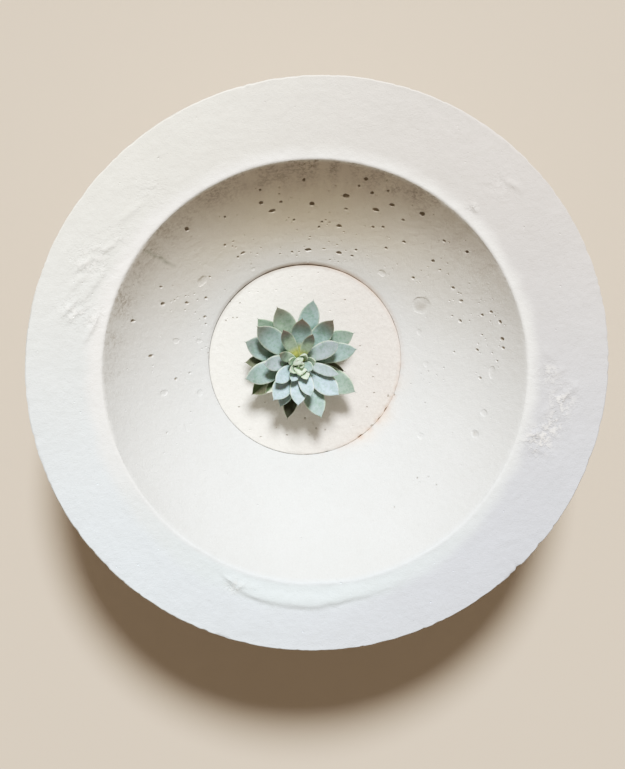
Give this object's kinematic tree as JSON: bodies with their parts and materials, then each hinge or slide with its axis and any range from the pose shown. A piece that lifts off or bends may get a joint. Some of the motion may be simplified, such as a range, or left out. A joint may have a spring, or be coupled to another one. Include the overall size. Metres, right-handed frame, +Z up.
{
  "type": "concrete bowl planter",
  "caption": "Heavy cast concrete bowl with a wide rim and an off-centre hollow, closed by a lift-out disc that holds a small potted rosette succulent.",
  "frame": {"origin": "on the floor, below the middle of the bowl's outer rim", "axes": "+Z up; +Y towards the rim's side that is at the top of the picture, +X to its right"},
  "size_m": [0.4199, 0.42, 0.145],
  "materials": {
    "concrete": "matte",
    "cream_concrete": "matte",
    "pot_plastic": "matte",
    "soil": "matte",
    "screen_mesh": "matte",
    "pad_felt": "matte",
    "stem": "matte",
    "leaf": "matte",
    "young_leaf": "matte"
  },
  "bodies": {
    "bowl": {"bowl": "concrete", "drain_screen": "screen_mesh", "base_pad_1": "pad_felt", "base_pad_2": "pad_felt", "base_pad_3": "pad_felt", "base_pad_4": "pad_felt"},
    "disc": {"centre_disc": "cream_concrete"},
    "plant": {"plant_pot": "pot_plastic", "potting_mix": "soil", "stem": "stem", "bud": "young_leaf", "leaf_01": "leaf", "leaf_02": "leaf", "leaf_03": "leaf", "leaf_04": "leaf", "leaf_05": "leaf", "leaf_06": "leaf", "leaf_07": "leaf", "leaf_08": "leaf", "leaf_09": "leaf", "leaf_10": "leaf", "leaf_11": "leaf", "leaf_12": "leaf", "leaf_13": "leaf", "leaf_14": "leaf", "leaf_15": "leaf", "leaf_16": "leaf", "leaf_17": "leaf", "leaf_18": "leaf", "leaf_19": "leaf", "leaf_20": "leaf", "leaf_21": "leaf", "leaf_22": "leaf", "leaf_23": "leaf", "leaf_24": "leaf", "leaf_25": "leaf", "leaf_26": "leaf", "leaf_27": "leaf", "leaf_28": "leaf", "leaf_29": "leaf", "leaf_30": "leaf", "leaf_31": "young_leaf", "leaf_32": "young_leaf", "leaf_33": "young_leaf", "leaf_34": "young_leaf", "leaf_35": "young_leaf", "leaf_36": "young_leaf", "leaf_37": "young_leaf", "leaf_38": "young_leaf"}
  },
  "joints": [
    {"name": "disc_lift", "type": "slide", "parent": "bowl", "child": "disc", "axis": [0, 0, 1], "range_m": [0, 0.12]},
    {"name": "pot_lift", "type": "slide", "parent": "disc", "child": "plant", "axis": [0, 0, 1], "range_m": [0, 0.12]}
  ]
}
